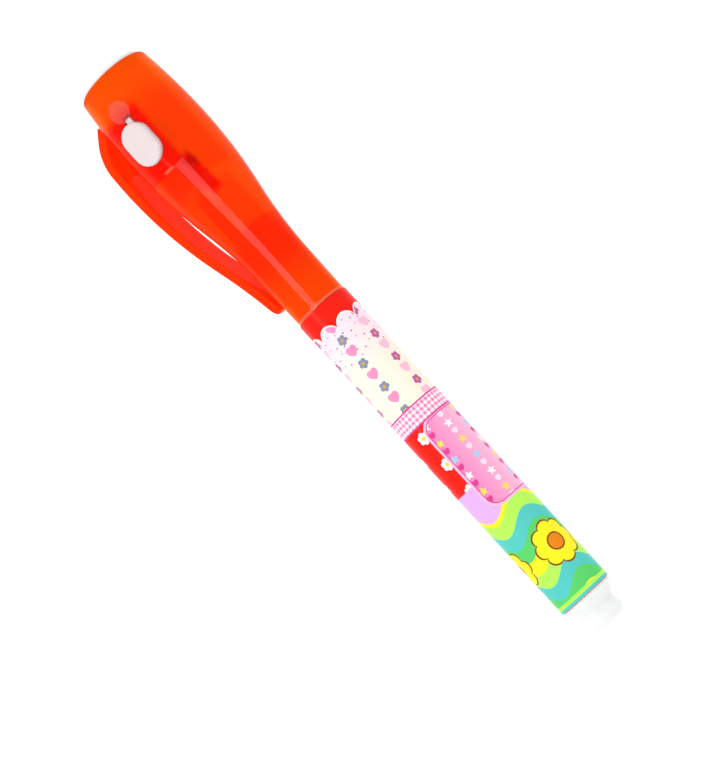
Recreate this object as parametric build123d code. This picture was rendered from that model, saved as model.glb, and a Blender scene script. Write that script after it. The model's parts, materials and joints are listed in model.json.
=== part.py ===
from build123d import *
import os
from math import asin, atan2, cos, degrees, hypot, pi, sin, sqrt

# Pen with a light in its cap. X runs along the pen: 0 is where the cap meets the barrel,
# the light is at the -X end and the plug at the +X end. Each piece is drawn with the button
# towards +Z and the clip towards -Y, then rolled about X to the way the pen lies on a table.

# Fits and gaps
CAP_FIT = 0.05
PRESS_FIT = 0.02
LOOSE_FIT = 0.1
FACE_GAP = 0.05
CLIP_SEAT_GAP = 0.08
PARTING_GAP = 0.1

# Barrel, print and plug
BARREL_RADIUS = 5.3
BARREL_LENGTH = 70.0
BARREL_WALL = 1.2
FILM_THICKNESS = 0.15
FILM_MARGIN = 0.1
RIB_COUNT = 6
RIB_WIDTH = 0.8
SPIGOT_RADIUS = 4.4
SPIGOT_LENGTH = 17.6
SPIGOT_WALL = 0.9
SPIGOT_BEAD = 0.03
NOSE_LENGTH = 6.2
NOSE_SHOULDER = 0.7
NOSE_TIP_RADIUS = 2.0
PLUG_PROUD = 6.5
PLUG_RADIUS = 5.1
PLUG_LIP = 0.7
PLUG_WAIST_RADIUS = 3.6
PLUG_WAIST_FROM_END = 3.4
PLUG_KNOB_RADIUS = 4.1
PLUG_KNOB_FROM_END = 1.7
PLUG_END_RADIUS = 3.3
PLUG_SKIRT = 6.0
PLUG_WALL = 1.0

# Ink parts
NIB_RADIUS = 1.25
NIB_PROUD = 3.8
NIB_TAPER = 2.6
NIB_POINT_RADIUS = 0.5
NIB_IN_RESERVOIR = 6.0
NIB_ROOM_GAP = 0.3
NIB_ROOM_SPARE = 2.2
RESERVOIR_IN_SPIGOT = 12.0
RESERVOIR_END_GAP = 0.5
WRAPPER_THICKNESS = 0.15

# Cap outside, radii at stations along it
MOUTH_RADIUS = 5.25
MOUTH_ROUND = 0.25
NECK_RADIUS = 5.42
NECK_LENGTH = 11.5
WAIST_RADIUS = 6.82
WAIST_FROM_MOUTH = 24.4
BULGE_RADIUS = 8.4
BULGE_FROM_RIM = 15.6
RIM_RADIUS = 7.5
RIM_ROUND = 0.9
LAND_DEPTH_TOP = 0.6
LAND_DEPTH_MOUTH = 0.3
LAND_SIDE_TURN = 8.0
LAND_SIDE_SHARE = 0.74
LAND_FROM_BUTTON = 2.4

# Cap inside
DIVIDER_THICKNESS = 1.8
CHAMBER_RADIUS = 6.2
LENS_RADIUS = 6.55
LENS_PROUD = 1.05
LENS_ROUND = 0.7
LENS_FACE = 1.7
LENS_SKIRT = 3.0
LENS_WALL = 1.2
LENS_FLARE = 0.9

# Light unit
LED_RADIUS = 2.5
LED_LENGTH = 8.6
LED_RECESS = 0.7
LED_FLANGE_RADIUS = 2.9
LED_FLANGE = 1.0
LED_ANVIL_DEPTH = 4.4
LED_POST_DEPTH = 3.6
LEAD_SIZE = 0.5
LEAD_PITCH = 2.54
LEAD_CONTACT = 2.2
CELL_RADIUS = 3.95
CELL_HEIGHT = 3.6
CELL_CAP_RADIUS = 3.1
CELL_CAP_STEP = 0.25
CELL_ROUND = 0.3
SPRING_LENGTH = 5.7
SPRING_RADIUS = 2.6
SPRING_WIRE = 0.5
SPRING_TURNS = 4
LEAF_THICKNESS = 0.3
LEAF_WIDTH = 3.0
LEAF_OVER_CELLS = 1.2
LEAF_BEND = 0.8
LEAF_PLATE_RADIUS = 3.4
HOLDER_WALL = 1.0
HOLDER_RING = 2.0

# Button and pull tab
BUTTON_LENGTH = 8.8
BUTTON_WIDTH = 6.0
BUTTON_PROUD = 0.7
BUTTON_TRAVEL = 0.6
BUTTON_GAP = 0.15
BUTTON_WALL = 1.0
BUTTON_ROUND = 0.6
BUTTON_LIP = 0.6
BUTTON_WING_LENGTH = 5.0
BUTTON_POST_RADIUS = 1.0
TAB_THICKNESS = 0.15
TAB_NECK = 1.2
TAB_OFFSET = 1.1
TAB_GRIP_RADIUS = 2.2
TAB_BUTTON_GAP = 0.3
TAB_DEPTH = 2.4
TAB_BEND = 0.5
TAB_OVER_BULGE = 0.1
TAB_NOTCH_GAP = 0.25

# Clip, heights from the pen axis to the middle of the arm
CLIP_FOOT_WIDTH = 7.6
CLIP_TIP_WIDTH = 4.2
CLIP_THICKNESS = 1.7
CLIP_ROUND = 0.3
CLIP_FOOT_FROM_RIM = 7.0
CLIP_SHOULDER_FROM_RIM = 9.8
CLIP_SHOULDER_DROP = 0.55
CLIP_SHOULDER_BEND = 9.0
CLIP_TOP_FROM_RIM = 19.6
CLIP_TOP_HEIGHT = 11.75
CLIP_DIP_FROM_MOUTH = 18.4
CLIP_DIP_DROP = 2.65
CLIP_TIP_FROM_MOUTH = 4.8
CLIP_TIP_ROUND = 1.5
CLIP_TIP_GAP = 0.12
CLIP_WEB = 1.6
CLIP_WEB_FROM_RIM = 16.2
CLIP_WEB_HOLLOW = 1.0
CLIP_TENON_LENGTH = 1.4
CLIP_TENON_WIDTH = 3.4
CLIP_TENON_DEPTH = 0.5
CLIP_TENON_GAP = 0.14

# Stations along X, from the cap's mouth to the light
mouth_x = -PARTING_GAP
bore_end_x = -(SPIGOT_LENGTH + LOOSE_FIT)
nose_tip_x = -(SPIGOT_LENGTH + NOSE_LENGTH)
nib_tip_x = nose_tip_x - NIB_PROUD
nib_room_x = nib_tip_x - NIB_ROOM_SPARE
chamber_x = nib_room_x - DIVIDER_THICKNESS
plate_x = chamber_x - FACE_GAP - LEAF_THICKNESS
spring_x = plate_x - SPRING_LENGTH
cells_x = spring_x - 3 * CELL_HEIGHT
tab_x = cells_x - FACE_GAP - TAB_THICKNESS / 2
lead_x = tab_x - TAB_THICKNESS / 2 - FACE_GAP - LEAD_SIZE / 2
led_base_x = lead_x - LEAD_SIZE / 2 - FACE_GAP
lens_x = led_base_x - LED_LENGTH - LED_RECESS
rim_x = lens_x + LENS_PROUD
holder_x = rim_x + LENS_SKIRT + LOOSE_FIT
button_x = (cells_x + spring_x) / 2
land_x = button_x + BUTTON_LENGTH / 2 + LAND_FROM_BUTTON

# Radii and heights that several pieces share
barrel_bore = BARREL_RADIUS - BARREL_WALL
spigot_bore = SPIGOT_RADIUS - SPIGOT_WALL
nose_radius = SPIGOT_RADIUS - NOSE_SHOULDER
wrapper_radius = spigot_bore - LOOSE_FIT
reservoir_radius = wrapper_radius - WRAPPER_THICKNESS
reservoir_start_x = -RESERVOIR_IN_SPIGOT
reservoir_end_x = BARREL_LENGTH - PLUG_SKIRT - RESERVOIR_END_GAP
nib_end_x = reservoir_start_x + NIB_IN_RESERVOIR
film_radius = BARREL_RADIUS + PRESS_FIT + FILM_THICKNESS
cell_pocket = CELL_RADIUS + LOOSE_FIT
leaf_z = CELL_RADIUS + LEAF_OVER_CELLS + LEAF_THICKNESS / 2
leaf_top_z = leaf_z + LEAF_THICKNESS / 2
leaf_free_x = button_x - BUTTON_POST_RADIUS - 3 * LEAD_SIZE
switch_lead_z = leaf_z - LEAF_THICKNESS / 2 - BUTTON_TRAVEL - LEAD_SIZE / 2
button_top_z = BULGE_RADIUS + BUTTON_PROUD
button_roof_z = leaf_top_z + BUTTON_TRAVEL + 2 * LOOSE_FIT
button_bottom_z = CELL_RADIUS + LEAF_OVER_CELLS / 3
wing_half_width = BUTTON_WIDTH / 2 + BUTTON_LIP
tab_z = BULGE_RADIUS + TAB_OVER_BULGE + TAB_THICKNESS / 2
clip_tip_height = NECK_RADIUS + CLIP_TIP_GAP + CLIP_THICKNESS / 2
clip_tip = (mouth_x - CLIP_TIP_FROM_MOUTH, -clip_tip_height)
clip_top = (rim_x + CLIP_TOP_FROM_RIM, -CLIP_TOP_HEIGHT)
clip_shoulder = (rim_x + CLIP_SHOULDER_FROM_RIM, CLIP_SHOULDER_DROP - CLIP_TOP_HEIGHT)
clip_foot_x = rim_x + CLIP_FOOT_FROM_RIM


def turned(*lines):
    """A solid turned about the pen axis from a closed outline of X and radius."""
    return revolve(Plane.XZ * make_face(Curve() + list(lines)), Axis.X)


def turned_outline(*points):
    return turned(Polyline(*points, close=True))


def rod(start_x, end_x, radius):
    length = end_x - start_x
    return Pos((start_x + end_x) / 2, 0, 0) * Rot(0, 90, 0) * Cylinder(radius, length)


def tube(start_x, end_x, outer, inner):
    return rod(start_x, end_x, outer) - rod(start_x, end_x, inner)


def block(x, y, z):
    """A box between the two limits given for each axis."""
    middle = Pos(sum(x) / 2, sum(y) / 2, sum(z) / 2)
    return middle * Box(x[1] - x[0], y[1] - y[0], z[1] - z[0])


def square_wire(size, *points):
    """Straight lengths of square wire, bent square at each point."""
    half = size / 2
    lengths = []
    for start, end in zip(points, points[1:]):
        limits = [(min(a, b) - half, max(a, b) + half) for a, b in zip(start, end)]
        lengths.append(block(*limits))
    return lengths[0].fuse(*lengths[1:]).clean()


def strip(thickness, width, bends, *points):
    """A bent strip, drawn on edge in X and Z and as wide in Y as asked."""
    path = FilletPolyline(*points, radius=bends)
    return extrude(Plane.XZ * trace(path, thickness), width / 2, both=True)


def barrel():
    outside = turned_outline(
        (nose_tip_x, 0),
        (nose_tip_x, NOSE_TIP_RADIUS),
        (-SPIGOT_LENGTH, nose_radius),
        (-SPIGOT_LENGTH, SPIGOT_RADIUS),
        (0, SPIGOT_RADIUS),
        (0, BARREL_RADIUS),
        (BARREL_LENGTH, BARREL_RADIUS),
        (BARREL_LENGTH, 0),
    )
    body = outside
    body -= rod(nose_tip_x, 0, NIB_RADIUS + PRESS_FIT)
    body -= rod(-SPIGOT_LENGTH, BARREL_WALL, spigot_bore)
    body -= rod(BARREL_WALL, BARREL_LENGTH, barrel_bore)
    rib_end_x = reservoir_end_x - RESERVOIR_END_GAP
    rib = block((0, rib_end_x), (-RIB_WIDTH / 2, RIB_WIDTH / 2), (spigot_bore, barrel_bore + BARREL_WALL / 2))
    for turn in range(RIB_COUNT):
        body += Rot(360 / RIB_COUNT * turn, 0, 0) * rib
    bead = tube(-2 * SPIGOT_WALL, -SPIGOT_WALL, SPIGOT_RADIUS + SPIGOT_BEAD, SPIGOT_RADIUS - SPIGOT_BEAD)
    return body + bead


def printed_sleeve():
    return tube(0, BARREL_LENGTH - FILM_MARGIN, film_radius, BARREL_RADIUS + PRESS_FIT)


def end_plug():
    end_x = BARREL_LENGTH + PLUG_PROUD
    side = FilletPolyline(
        (BARREL_LENGTH, PLUG_RADIUS),
        (BARREL_LENGTH + PLUG_LIP, PLUG_RADIUS),
        (end_x - PLUG_WAIST_FROM_END, PLUG_WAIST_RADIUS),
        (end_x - PLUG_KNOB_FROM_END, PLUG_KNOB_RADIUS),
        (end_x, PLUG_END_RADIUS),
        (end_x, 0),
        radius=[PLUG_LIP / 2, PLUG_LIP, PLUG_LIP, PLUG_LIP],
    )
    base = Polyline((end_x, 0), (BARREL_LENGTH, 0), (BARREL_LENGTH, PLUG_RADIUS))
    head = turned(side, base)
    skirt_radius = barrel_bore - PRESS_FIT
    skirt = tube(BARREL_LENGTH - PLUG_SKIRT, BARREL_LENGTH, skirt_radius, skirt_radius - PLUG_WALL)
    return head + skirt


def fibre_nib():
    return turned_outline(
        (nib_tip_x, 0),
        (nib_tip_x, NIB_POINT_RADIUS / 2),
        (nib_tip_x + NIB_POINT_RADIUS, NIB_POINT_RADIUS),
        (nib_tip_x + NIB_TAPER, NIB_RADIUS),
        (nib_end_x, NIB_RADIUS),
        (nib_end_x, 0),
    )


def ink_reservoir():
    fibre = rod(reservoir_start_x, reservoir_end_x, reservoir_radius)
    return fibre - rod(reservoir_start_x, nib_end_x + FACE_GAP, NIB_RADIUS + PRESS_FIT)


def reservoir_wrapper():
    return tube(reservoir_start_x, reservoir_end_x, wrapper_radius, reservoir_radius + PRESS_FIT)


def cap_side(grow_at_land, grow_at_mouth):
    """The cap's side line from the rim to the mouth, grown evenly between two stations."""

    def station(x, radius):
        share = (x - mouth_x) / (land_x - mouth_x)
        return (x, radius + grow_at_mouth + share * (grow_at_land - grow_at_mouth))

    rim = station(rim_x + RIM_ROUND, RIM_RADIUS)
    bulge = station(rim_x + BULGE_FROM_RIM, BULGE_RADIUS)
    waist = station(mouth_x - WAIST_FROM_MOUTH, WAIST_RADIUS)
    neck = station(mouth_x - NECK_LENGTH, NECK_RADIUS)
    mouth = station(mouth_x, MOUTH_RADIUS)
    to_rim = TangentArc(bulge, rim, tangent=(-1, 0))
    to_waist = TangentArc(bulge, waist, tangent=(1, 0))
    to_neck = TangentArc(waist, neck, tangent=to_waist % 1)
    return rim, mouth, [to_rim, to_waist, to_neck, Line(neck, mouth)]


def cap_form(grow):
    """The cap's solid outer form, with its sides grown outwards."""
    rim, mouth, side = cap_side(grow, grow)
    rim_edge = CenterArc((rim[0], rim[1] - RIM_ROUND), RIM_ROUND, 90, 90)
    closing = Polyline(mouth, (mouth_x, 0), (rim_x, 0), (rim_x, rim[1] - RIM_ROUND))
    return turned(*side, rim_edge, closing)


def land_cutter(share):
    """What is taken off the cap to leave a long flat, at a share of the land's full depth."""
    rim, mouth, side = cap_side(-share * LAND_DEPTH_TOP, -share * LAND_DEPTH_MOUTH)
    above = button_top_z + BULGE_RADIUS
    closing = Polyline(mouth, (mouth[0], above), (rim[0], above), rim)
    face = Plane.XZ * make_face(Curve() + [*side, closing])
    reach = (-BULGE_RADIUS, BULGE_RADIUS)
    return extrude(face, BULGE_RADIUS, both=True) & block((land_x, mouth_x), reach, (0, above))


def clip_tenon(gap):
    half_length = CLIP_TENON_LENGTH / 2 + gap
    half_width = CLIP_TENON_WIDTH / 2 + gap
    bottom = RIM_RADIUS - CLIP_TENON_DEPTH - gap
    top = BULGE_RADIUS + CLIP_THICKNESS / 2
    along = (clip_foot_x - half_length, clip_foot_x + half_length)
    return block(along, (-top, -bottom), (-half_width, half_width))


def cap_shell():
    shell = cap_form(0)
    mouth_edge = shell.edges().filter_by(GeomType.CIRCLE).sort_by(Axis.X)[-1]
    shell = fillet(mouth_edge, MOUTH_ROUND)
    shell -= land_cutter(1)
    for turn in (-LAND_SIDE_TURN, LAND_SIDE_TURN):
        shell -= Rot(turn, 0, 0) * land_cutter(LAND_SIDE_SHARE)
    shell -= rod(rim_x, chamber_x, CHAMBER_RADIUS)
    shell -= rod(nib_room_x, mouth_x, nose_radius + NIB_ROOM_GAP)
    bore = SPIGOT_RADIUS + SPIGOT_BEAD + CAP_FIT
    shell -= rod(bore_end_x, mouth_x, bore)
    hole = SlotOverall(BUTTON_LENGTH + 2 * BUTTON_GAP, BUTTON_WIDTH + 2 * BUTTON_GAP)
    shell -= Pos(button_x, 0, cell_pocket) * extrude(hole, button_top_z)
    notch_half = TAB_NECK / 2 + TAB_NOTCH_GAP
    notch_x = (tab_x - TAB_THICKNESS / 2 - TAB_NOTCH_GAP, button_x)
    notch_y = (TAB_OFFSET - notch_half, TAB_OFFSET + notch_half)
    shell -= block(notch_x, notch_y, (cell_pocket, button_top_z))
    return shell - clip_tenon(CLIP_TENON_GAP)


def clip_path():
    """The middle line of the clip arm, as X and height below the pen axis in -Y."""
    foot = (clip_foot_x - CLIP_TENON_LENGTH, CLIP_TENON_DEPTH - RIM_RADIUS)
    dip = (mouth_x - CLIP_DIP_FROM_MOUTH, CLIP_DIP_DROP - CLIP_TOP_HEIGHT)
    back = ThreePointArc(clip_shoulder, clip_top, dip)
    toe = TangentArc(dip, clip_tip, tangent=back % 1)
    path = Wire([Line(foot, clip_shoulder), back, toe])
    return path.fillet_2d(CLIP_SHOULDER_BEND, path.vertices().sort_by_distance(clip_shoulder)[:1])


def clip_half_width(x):
    """Half the width of the clip, which narrows evenly from its foot to its tip."""
    share = (x - clip_foot_x) / (clip_tip[0] - clip_foot_x)
    return (CLIP_FOOT_WIDTH + share * (CLIP_TIP_WIDTH - CLIP_FOOT_WIDTH)) / 2


def clip_arm():
    wide, narrow = clip_half_width(rim_x), clip_half_width(mouth_x)
    plan = Polyline((rim_x, -wide), (mouth_x, -narrow), (mouth_x, narrow), (rim_x, wide), close=True)
    arm = extrude(trace(clip_path(), CLIP_THICKNESS), CLIP_FOOT_WIDTH, both=True)
    arm &= extrude(Plane.XZ * make_face(plan), CLIP_TOP_HEIGHT + CLIP_THICKNESS, both=True)
    tip_face = arm.faces().sort_by_distance(clip_tip)[0]
    arm = fillet(tip_face.edges().filter_by(Axis.Z, reverse=True), CLIP_TIP_ROUND)
    sides = arm.faces().filter_by(Axis.Z, tolerance=10)
    return fillet(sides.edges(), CLIP_ROUND)


def pocket_clip():
    low = (rim_x + CLIP_WEB_FROM_RIM, -RIM_RADIUS)
    high = (rim_x + CLIP_WEB_FROM_RIM, clip_shoulder[1])
    web_top = Polyline(low, (clip_foot_x, -RIM_RADIUS), clip_shoulder, high)
    web_end = SagittaArc(high, low, CLIP_WEB_HOLLOW)
    web = extrude(make_face(Curve() + [web_top, web_end]), CLIP_WEB / 2, both=True)
    return clip_arm() + web - cap_form(CLIP_SEAT_GAP) + clip_tenon(0)


def rest_roll():
    """How far the pen rolls, in degrees, until its clip and its cap lie on the same table."""
    height = CLIP_TOP_HEIGHT + CLIP_THICKNESS / 2
    half_width = clip_half_width(clip_top[0])
    return degrees(asin(BULGE_RADIUS / hypot(height, half_width)) - atan2(half_width, height))


def light_lens():
    front_corner = LENS_RADIUS - LENS_ROUND
    hole = LED_RADIUS + LOOSE_FIT
    skirt = CHAMBER_RADIUS - PRESS_FIT
    skirt_x = rim_x + LENS_SKIRT
    outline = Polyline(
        (lens_x, front_corner),
        (lens_x, hole + LENS_FLARE),
        (lens_x + LENS_FLARE, hole),
        (lens_x + LENS_FACE, hole),
        (lens_x + LENS_FACE, skirt - LENS_WALL),
        (skirt_x, skirt - LENS_WALL),
        (skirt_x, skirt),
        (rim_x, skirt),
        (rim_x, LENS_RADIUS),
        (lens_x + LENS_ROUND, LENS_RADIUS),
    )
    edge = CenterArc((lens_x + LENS_ROUND, front_corner), LENS_ROUND, 90, 90)
    return turned(outline, edge)


def led_cell_lead():
    side = LEAD_PITCH / 2
    lead = square_wire(
        LEAD_SIZE,
        (led_base_x - LED_ANVIL_DEPTH, side, 0),
        (lead_x, side, 0),
        (lead_x, 0, 0),
        (lead_x, 0, -LEAD_CONTACT),
    )
    cup = Pos(led_base_x - LED_ANVIL_DEPTH, side / 2, 0) * Rot(0, 90, 0) * Cylinder(LEAD_SIZE, LEAD_SIZE)
    return lead + cup


def led_switch_lead():
    side = -LEAD_PITCH / 2
    end_x = leaf_free_x + 2 * LEAD_SIZE
    return square_wire(
        LEAD_SIZE,
        (led_base_x - LED_POST_DEPTH, side, 0),
        (lead_x, side, 0),
        (lead_x, side, switch_lead_z),
        (end_x, side, switch_lead_z),
    )


def uv_led():
    tip_x = led_base_x - LED_LENGTH
    dome_x = tip_x + LED_RADIUS
    flange_x = led_base_x - LED_FLANGE
    outline = Polyline(
        (dome_x, LED_RADIUS),
        (flange_x, LED_RADIUS),
        (flange_x, LED_FLANGE_RADIUS),
        (led_base_x, LED_FLANGE_RADIUS),
        (led_base_x, 0),
        (tip_x, 0),
    )
    dome = CenterArc((dome_x, 0), LED_RADIUS, 90, 90)
    lamp = turned(outline, dome)
    reach = 2 * LED_FLANGE_RADIUS
    flat = block((flange_x, led_base_x), (-reach, -LED_RADIUS), (-reach, reach))
    return lamp - flat - led_cell_lead() - led_switch_lead()


def battery_holder():
    end_x = plate_x - FACE_GAP
    outer = CHAMBER_RADIUS - LOOSE_FIT
    cradle = cell_pocket + HOLDER_WALL
    holder = rod(holder_x, end_x, cradle)
    holder += rod(holder_x, holder_x + HOLDER_RING, outer)
    holder += rod(end_x - HOLDER_RING, end_x, outer)
    holder -= rod(holder_x, led_base_x, LED_RADIUS + LOOSE_FIT)
    holder -= rod(led_base_x - LED_FLANGE - FACE_GAP, led_base_x, LED_FLANGE_RADIUS + LOOSE_FIT)
    holder -= rod(led_base_x, end_x, cell_pocket)
    window = wing_half_width + 2 * LOOSE_FIT
    return holder - block((led_base_x, end_x), (-window, window), (0, CHAMBER_RADIUS))


def button_cell(place):
    start = cells_x + place * CELL_HEIGHT
    end = start + CELL_HEIGHT
    return turned_outline(
        (start, 0),
        (start, CELL_CAP_RADIUS),
        (start + CELL_CAP_STEP, CELL_CAP_RADIUS + CELL_CAP_STEP),
        (start + CELL_CAP_STEP, CELL_RADIUS - CELL_ROUND),
        (start + CELL_CAP_STEP + CELL_ROUND, CELL_RADIUS),
        (end - CELL_ROUND, CELL_RADIUS),
        (end, CELL_RADIUS - CELL_ROUND),
        (end, 0),
    )


def arc_pair(start, start_way, end, end_way):
    """Two arcs, tangent where they meet, from one place and direction to another."""
    across = end - start
    both = start_way + end_way
    spread = 2 * (1 - start_way.dot(end_way))
    along = across.dot(both)
    reach = (sqrt(along**2 + spread * across.dot(across)) - along) / spread
    middle = (start + end + (start_way - end_way) * reach) / 2
    first = TangentArc(start, middle, tangent=start_way)
    return first, TangentArc(middle, end, tangent=first % 1)


def spring_point(turn):
    half = SPRING_WIRE / 2 + FACE_GAP
    climb = (SPRING_LENGTH - 2 * half) / SPRING_TURNS
    angle = 2 * pi * turn
    place = Vector(spring_x + half + climb * turn, SPRING_RADIUS * cos(angle), SPRING_RADIUS * sin(angle))
    way = Vector(climb / (2 * pi), -SPRING_RADIUS * sin(angle), SPRING_RADIUS * cos(angle))
    return place, way.normalized()


def battery_spring():
    arcs = []
    for quarter in range(4 * SPRING_TURNS):
        arcs += arc_pair(*spring_point(quarter / 4), *spring_point((quarter + 1) / 4))
    path = Wire(arcs)
    rise = spring_point(1)[0].X - spring_point(0)[0].X
    print(f"battery spring: gap between turns {rise - SPRING_WIRE:.2f} mm")
    section = Plane(path @ 0, z_dir=path % 0) * Circle(SPRING_WIRE / 2)
    return sweep(section, path)


def switch_leaf():
    middle_x = plate_x + LEAF_THICKNESS / 2
    leaf = strip(
        LEAF_THICKNESS,
        LEAF_WIDTH,
        [LEAF_BEND],
        (middle_x, 0),
        (middle_x, leaf_z),
        (leaf_free_x, leaf_z),
    )
    return leaf + rod(plate_x, plate_x + LEAF_THICKNESS, LEAF_PLATE_RADIUS)


def push_button():
    height = button_top_z - button_bottom_z
    base = Pos(button_x, 0, button_bottom_z)
    cap = base * extrude(SlotOverall(BUTTON_LENGTH, BUTTON_WIDTH), height)
    cap = fillet(cap.faces().sort_by(Axis.Z)[-1].edges(), BUTTON_ROUND)
    half = BUTTON_WING_LENGTH / 2
    reach = (button_x - half, button_x + half)
    wings = block(reach, (-wing_half_width, wing_half_width), (button_bottom_z, CHAMBER_RADIUS))
    button = cap + (wings & rod(*reach, CHAMBER_RADIUS - LOOSE_FIT))
    inside = SlotOverall(BUTTON_LENGTH - 2 * BUTTON_WALL, BUTTON_WIDTH - 2 * BUTTON_WALL)
    button -= base * extrude(inside, height - BUTTON_WALL)
    channel_half = LEAF_WIDTH / 2 + BUTTON_TRAVEL
    channel_x = (button_x - BUTTON_LENGTH, button_x + BUTTON_LENGTH)
    button -= block(channel_x, (-channel_half, channel_half), (0, button_roof_z))
    post_bottom = leaf_top_z + FACE_GAP
    post_height = button_top_z - BUTTON_WALL - post_bottom
    return button + Pos(button_x, 0, post_bottom + post_height / 2) * Cylinder(BUTTON_POST_RADIUS, post_height)


def pull_tab():
    grip_x = button_x - BUTTON_LENGTH / 2 - TAB_BUTTON_GAP - TAB_GRIP_RADIUS
    neck = strip(
        TAB_THICKNESS,
        TAB_NECK,
        [TAB_BEND],
        (tab_x, -TAB_DEPTH),
        (tab_x, tab_z),
        (grip_x, tab_z),
    )
    tab = neck + Pos(grip_x, 0, tab_z) * Cylinder(TAB_GRIP_RADIUS, TAB_THICKNESS)
    return Pos(0, TAB_OFFSET, 0) * tab


pieces = {
    "barrel": barrel(),
    "printed_sleeve": printed_sleeve(),
    "end_plug": end_plug(),
    "fibre_nib": fibre_nib(),
    "ink_reservoir": ink_reservoir(),
    "reservoir_wrapper": reservoir_wrapper(),
    "cap_shell": cap_shell(),
    "pocket_clip": pocket_clip(),
    "light_lens": light_lens(),
    "uv_led": uv_led(),
    "led_cell_lead": led_cell_lead(),
    "led_switch_lead": led_switch_lead(),
    "battery_holder": battery_holder(),
    "button_cell_front": button_cell(0),
    "button_cell_middle": button_cell(1),
    "button_cell_rear": button_cell(2),
    "battery_spring": battery_spring(),
    "switch_leaf": switch_leaf(),
    "push_button": push_button(),
    "pull_tab": pull_tab(),
}

os.makedirs("parts", exist_ok=True)
roll = rest_roll()
for name, piece in pieces.items():
    export_step(Rot(roll, 0, 0) * piece, f"parts/{name}.step")
print(f"rest roll {roll:.3f} degrees, cap length {mouth_x - rim_x:.2f} mm")
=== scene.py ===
# %% [markdown]
# # A pen with a light in its cap
# This lesson dresses a finished engineering model. The pen's solids, with their joints, are loaded as a
# fixed frame, and every surface then gets the finish of the real thing: see-through red plastic,
# frosted white plastic, a printed film, and the small metal parts of the light.
# The pen lies along X. The light is at the -X end, the plug is at the +X end, and Z is up.

# %% Load the frame
import bmesh
import bpy
import json
from functools import partial
from math import atan2, cos, degrees, pi, radians, sin, tan
from mathutils import Matrix, Vector


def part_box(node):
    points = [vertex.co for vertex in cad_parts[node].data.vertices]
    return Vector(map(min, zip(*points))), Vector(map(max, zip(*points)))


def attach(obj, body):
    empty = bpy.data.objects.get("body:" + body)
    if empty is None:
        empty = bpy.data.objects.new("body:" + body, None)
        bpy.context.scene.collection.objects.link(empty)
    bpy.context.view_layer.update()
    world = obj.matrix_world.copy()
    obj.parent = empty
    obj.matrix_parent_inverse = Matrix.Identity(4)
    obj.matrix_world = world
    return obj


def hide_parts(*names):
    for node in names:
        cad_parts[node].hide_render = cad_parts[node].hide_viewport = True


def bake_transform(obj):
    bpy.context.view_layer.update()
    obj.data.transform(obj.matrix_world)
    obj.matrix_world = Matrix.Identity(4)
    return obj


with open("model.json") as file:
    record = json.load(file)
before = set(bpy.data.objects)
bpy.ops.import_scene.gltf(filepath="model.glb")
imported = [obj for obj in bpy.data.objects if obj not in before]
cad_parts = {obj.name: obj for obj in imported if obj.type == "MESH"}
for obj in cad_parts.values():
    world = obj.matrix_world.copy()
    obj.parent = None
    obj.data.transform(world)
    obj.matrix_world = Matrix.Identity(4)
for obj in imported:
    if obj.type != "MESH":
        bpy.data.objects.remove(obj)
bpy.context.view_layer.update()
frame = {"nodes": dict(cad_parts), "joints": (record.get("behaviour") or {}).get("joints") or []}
MM = 0.001

# %% [markdown]
# ## The camera
# The photograph looks almost straight down on the pen, which lies slanted across the picture with the
# light at the upper left. The outlines of the cap lean a little, so the lens stood over the barrel,
# about half a metre away. A camera can be turned by angles, but three arrows, for the picture's right,
# its up and the way back to the lens, are easier to check against a picture.

# %% Stand the camera over the barrel
AIM = Vector((14.761, -4.353, 0)) * MM
DISTANCE = 480.15 * MM
LEAN_ALONG_PEN = radians(5.512)
LEAN_ACROSS_PEN = radians(4.786)
PEN_SLANT = radians(47.391)
PICTURE_HEIGHT = 768
FOCAL_PIXELS = 2658.26

back = Vector((tan(LEAN_ALONG_PEN), tan(LEAN_ACROSS_PEN), 1)).normalized()
picture_up = Vector((-sin(PEN_SLANT), cos(PEN_SLANT), 0))
picture_right = picture_up.cross(back).normalized()
picture_up = back.cross(picture_right)
camera = bpy.data.objects.new("photo_camera", bpy.data.cameras.new("photo_camera"))
bpy.context.scene.collection.objects.link(camera)
turn = Matrix((picture_right, picture_up, back)).transposed().to_4x4()
camera.matrix_world = Matrix.Translation(AIM + back * DISTANCE) @ turn
camera.data.lens = camera.data.sensor_width * FOCAL_PIXELS / PICTURE_HEIGHT
camera.data.clip_start = 10 * MM
camera.data.clip_end = 10
bpy.context.scene.camera = camera
print("camera lens in mm:", round(camera.data.lens, 1))

# %% [markdown]
# ## Floor and light
# The picture has a clean white ground. A pen lies on the thickest part of its cap and on its tail, so
# the floor slopes by a degree and a half under the pen's own axis. A floor of white acrylic with a lamp
# under it is the usual way to lose the shadow, so the floor both reflects and glows. A white dome gives
# even light from all round, and a long panel gives the cap the bright line beside its flat land.

# %% Lay the floor
TOUCH_AT_CAP = Vector((-42, 0, -8.55)) * MM
TOUCH_AT_TAIL = Vector((69, 0, -5.6)) * MM
FLOOR_SIZE = 3.0
FLOOR_GREY = 0.25
FLOOR_GLOW = 0.8

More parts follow.
